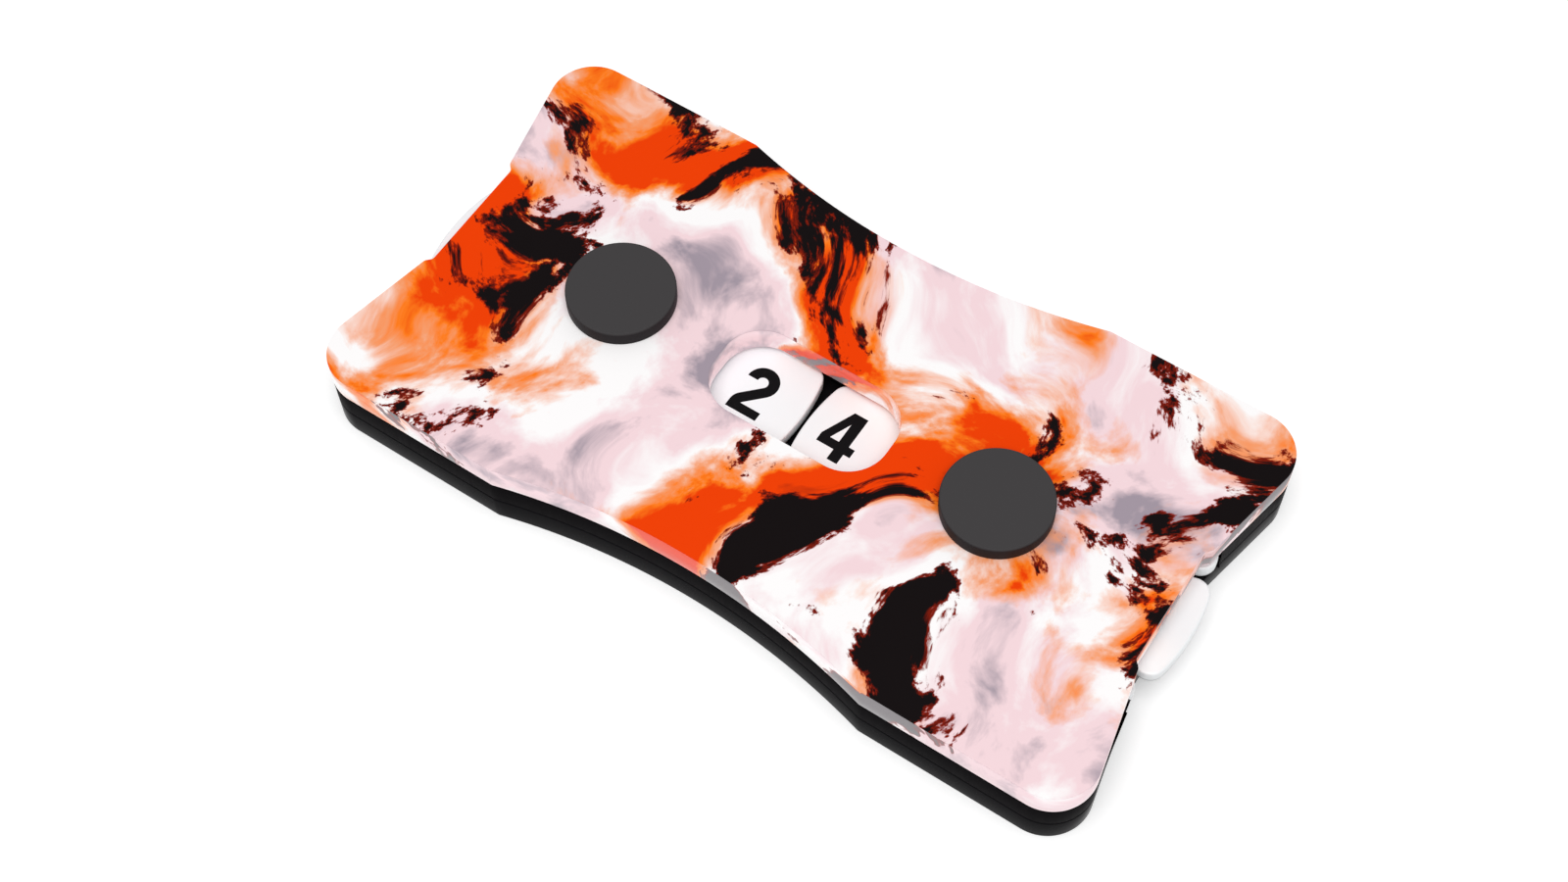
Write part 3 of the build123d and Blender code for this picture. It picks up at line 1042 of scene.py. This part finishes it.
# Steps
class LIFECOUNTER_OT_sheets(Operator):
    """Build the clear plate, its print, the spacers, the bonding films and the base"""

    bl_idname = "lifecounter.sheets"
    bl_label = "Plates and layers"

    def execute(self, context):
        """Build the flat layers."""
        sizes, colours = context.scene.counter_outline, context.scene.counter_finishes
        edge = sizes.cut_edge
        half = outline_half(sizes)
        body = half + turned(half)
        window = window_outline(sizes)
        axles = [(sign * AXLE_X, 0) for sign in SIDES.values()]

        plate_levels = edge_levels(PLATE_BOX[0].z, PLATE_BOX[1].z, edge, 0)
        plate_walls = [loop_rings(body, plate_levels), loop_rings(window, plate_levels)]
        hole = [(PLATE_BOX[0].z, sizes.post_hole), (PLATE_BOX[1].z, sizes.post_hole)]
        plate_walls += [round_rings(axle, hole) for axle in axles]
        plate = build_sheet("clear_plate", plate_walls)
        settle(plate, clear_material(colours), "case", "clear_plate", "top_plate")

        # The ink's lower face lies just inside the acrylic, so that nothing shows between them
        ink_low = PRINT_BOX[0].z - INK_OVERLAP
        ink_levels = edge_levels(ink_low, PRINT_BOX[1].z, 0, INK_EDGE)
        ink_walls = [loop_rings(loop, ink_levels) for loop in (body, window)]
        ink_hole = [(ink_low, sizes.post_hole), (PRINT_BOX[1].z, sizes.post_hole)]
        ink_walls += [round_rings(axle, ink_hole) for axle in axles]
        ink = build_sheet("marbled_print", ink_walls)
        settle(ink, print_material(colours), "case", "print", "face_print")

        # Painted shade: the spacers' black acrylic is darker and less glossy than the base's, for the
        # shade under the overhanging plate
        dull = black_material("Black acrylic in painted shade, laser cut", colours.spacer, 0.0045, 0.35, 0.5)
        gloss = black_material("Cast black acrylic, laser cut", colours.black, 0.0095, 0.175, 0.25)
        film = film_material(colours)
        rear = spacer_outline(sizes)
        spacer_levels = edge_levels(SPACER_BOX[0].z, SPACER_BOX[1].z, edge, edge)
        films = {
            "lower": (BASE_BOX[1].z, SPACER_BOX[0].z),
            "upper": (SPACER_BOX[1].z, PLATE_BOX[0].z),
        }
        for side, loop in (("rear", rear), ("front", turned(rear))):
            spacer = build_sheet(f"{side}_layer", [loop_rings(loop, spacer_levels)])
            settle(spacer, dull, "case", "black_sheet", f"{side}_spacer")
            for level, (low, high) in films.items():
                drawn = inset(loop, sizes.film_inset)
                tape = build_sheet(
                    f"{side}_{level}_film", [loop_rings(drawn, [(low, 0), (high, 0)])]
                )
                settle(tape, film, "case", "bonding_film", f"{side}_{level}_tape")

        base_low, base_high = BASE_BOX[0].z, BASE_BOX[1].z
        base_walls = [loop_rings(body, edge_levels(base_low, base_high, edge, edge))]
        seat = base_low + sizes.counterbore_depth
        stepped = [
            (base_low, sizes.counterbore),
            (seat, sizes.counterbore),
            (seat, sizes.post_hole),
            (base_high, sizes.post_hole),
        ]
        base_walls += [round_rings(axle, stepped) for axle in axles]
        base = build_sheet("base_layer", base_walls)
        settle(base, gloss, "case", "black_sheet", "base_plate")
        return {"FINISHED"}


class LIFECOUNTER_OT_wheels(Operator):
    """Build the two lobed wheels with their engraved, paint-filled digits"""

    bl_idname = "lifecounter.wheels"
    bl_label = "Wheels and digits"

    def execute(self, context):
        """Build both wheels."""
        sizes, colours = context.scene.counter_wheel, context.scene.counter_finishes
        white, paint = white_material(colours), paint_material(colours)
        tree = wheel_tree(white)
        low, high = WHEEL_BOX[0].z, WHEEL_BOX[1].z
        for side, sign in SIDES.items():
            # Disc
            values = {
                "Lobes": sizes.lobes,
                "Radius": sizes.radius,
                "Slot Width": sizes.slot_width,
                "Slot Depth": sizes.slot_depth,
                "Lobe Round": sizes.lobe_round,
                "Bore": sizes.bore,
                "Thickness": high - low,
                "Centre": sign * AXLE_X,
                "Height": low,
            }
            wheel = tree_mesh(f"{side}_disc", tree, values)
            round_rims(wheel, sizes.edge)

            # Digits cut into it
            tool = digits_piece("engraving tool", side, ENGRAVING_OVERRUN)
            engraving = wheel.modifiers.new("Engraving", "BOOLEAN")
            engraving.operation = "DIFFERENCE"
            engraving.solver = "EXACT"
            engraving.object = tool
            plain(wheel)
            bpy.data.objects.remove(tool)
            settle(wheel, white, f"{side}_dial", "white_wheel", f"{side}_wheel")

            # Paint in the cut
            digits = digits_piece(f"{side}_digits", side, -sizes.paint_sink)
            settle(digits, paint, f"{side}_dial", "digit_paint", f"{side}_numerals")
        return {"FINISHED"}


class LIFECOUNTER_OT_posts(Operator):
    """Build the binding posts, and dress their screws and washers"""

    bl_idname = "lifecounter.posts"
    bl_label = "Posts, screws and washers"

    def execute(self, context):
        """Turn both posts."""
        sizes, colours = context.scene.counter_post, context.scene.counter_finishes
        nylon = nylon_material("Moulded black nylon", colours.nylon, colours.nylon_shaded_rim)
        natural = nylon_material("Moulded natural nylon", colours.washer, colours.washer_shaded_rim)
        head = (POST_BOX[1].x - POST_BOX[0].x) / 2
        low, high = POST_BOX[0].z, POST_BOX[1].z
        seat = high - sizes.head_thickness
        bore_end = low + sizes.bore_depth
        brow = arc_points(
            (head - sizes.head_round, high - sizes.head_round),
            sizes.head_round,
            math.pi / 2,
            0,
            HEAD_STEPS,
        )
        foot = arc_points(
            (head - sizes.head_foot, seat + sizes.head_foot),
            sizes.head_foot,
            0,
            -math.pi / 2,
            FOOT_STEPS,
        )
        profile = [
            Vector((0, high)),
            *brow,
            *foot,
            Vector((sizes.barrel, seat)),
            Vector((sizes.barrel, low)),
            Vector((sizes.bore, low)),
            Vector((sizes.bore, bore_end)),
            Vector((0, bore_end)),
        ]
        for side, sign in SIDES.items():
            post = turn_piece(f"{side}_binding_post", profile, sign * AXLE_X)
            settle(post, nylon, "case", "black_nylon", f"{side}_post")
            # The screws and washers are the CAD model's own
            dress(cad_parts[f"{side}_post_screw"], nylon)
            for level in ("lower", "upper"):
                dress(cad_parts[f"{side}_{level}_washer"], natural)
        return {"FINISHED"}


class LIFECOUNTER_OT_stage(Operator):
    """Set up the floor, the light and the camera"""

    bl_idname = "lifecounter.stage"
    bl_label = "Stage"

    def execute(self, context):
        """Build the stage."""
        scene, stage = context.scene, context.scene.counter_stage
        floor_mesh = bmesh.new()
        bmesh.ops.create_grid(floor_mesh, x_segments=1, y_segments=1, size=stage.floor_reach)
        for vertex in floor_mesh.verts:
            vertex.co.z = CAD_BOX[0].z - FLOOR_GAP
        floor = finish_mesh("floor", floor_mesh)
        dress(floor, floor_material(stage))

        world = bpy.data.worlds.new("Studio")
        scene.world = world
        world.use_nodes = True
        tree = world.node_tree
        tree.nodes.clear()
        # White to whatever looks at it, and daylight's own strength on the object
        strength = add_node(
            tree,
            "ShaderNodeMapRange",
            links={"Value": seen_rays(tree), "To Min": stage.daylight, "To Max": 1.0},
        )
        sky = add_node(
            tree,
            "ShaderNodeBackground",
            links={"Color": (1.0, 1.0, 1.0, 1.0), "Strength": strength.outputs["Result"]},
        )
        add_node(tree, "ShaderNodeOutputWorld", links={"Surface": sky.outputs[0]})

        lamp_data = bpy.data.lights.new("Soft lamp", "AREA")
        lamp_data.shape = "DISK"
        lamp_data.size = stage.lamp_width
        lamp_data.energy = stage.lamp_power
        lamp = bpy.data.objects.new("soft lamp", lamp_data)
        lamp.location = stage.lamp_place
        lamp.rotation_euler = (-Vector(stage.lamp_place)).to_track_quat("-Z", "Y").to_euler()
        context.collection.objects.link(lamp)

        camera_data = bpy.data.cameras.new("Camera")
        camera_data.sensor_width = 36.0
        camera_data.lens = stage.lens
        camera_data.clip_start = 0.01
        camera = bpy.data.objects.new("camera", camera_data)
        camera.location = stage.camera_place
        camera.rotation_euler = stage.camera_turn
        context.collection.objects.link(camera)
        scene.camera = camera
        scene.view_settings.view_transform = "Standard"
        return {"FINISHED"}


# Panel, registration and run
class LIFECOUNTER_PT_panel(Panel):
    """Sizes, colours and steps of the life counter"""

    bl_label = "Life counter"
    bl_idname = "LIFECOUNTER_PT_panel"
    bl_space_type = "VIEW_3D"
    bl_region_type = "UI"
    bl_category = "Life counter"

    def draw(self, context):
        """List the groups of sizes and the steps."""
        for group in GROUPS:
            box = self.layout.box()
            box.label(text=group.replace("counter_", "").capitalize())
            settings = getattr(context.scene, group)
            for name in settings.__annotations__:
                box.prop(settings, name)
        for step in STEPS:
            self.layout.operator(step.bl_idname)


GROUPS = {
    "counter_outline": OutlineSizes,
    "counter_wheel": WheelSizes,
    "counter_post": PostSizes,
    "counter_finishes": Finishes,
    "counter_stage": StageSettings,
}
STEPS = (
    LIFECOUNTER_OT_sheets,
    LIFECOUNTER_OT_wheels,
    LIFECOUNTER_OT_posts,
    LIFECOUNTER_OT_stage,
)


def register():
    """Register the classes and hang their settings on the scene."""
    for item in (*GROUPS.values(), *STEPS, LIFECOUNTER_PT_panel):
        bpy.utils.register_class(item)
    for name, group in GROUPS.items():
        setattr(bpy.types.Scene, name, PointerProperty(type=group))


def unregister():
    """Take the settings and the classes away again."""
    for name in GROUPS:
        delattr(bpy.types.Scene, name)
    for item in (LIFECOUNTER_PT_panel, *reversed(STEPS), *reversed(GROUPS.values())):
        bpy.utils.unregister_class(item)


def main():
    """Build everything in order."""
    register()
    bpy.ops.lifecounter.sheets()
    bpy.ops.lifecounter.wheels()
    bpy.ops.lifecounter.posts()
    bpy.ops.lifecounter.stage()
    bpy.context.view_layer.update()


if __name__ == "__main__":
    main()
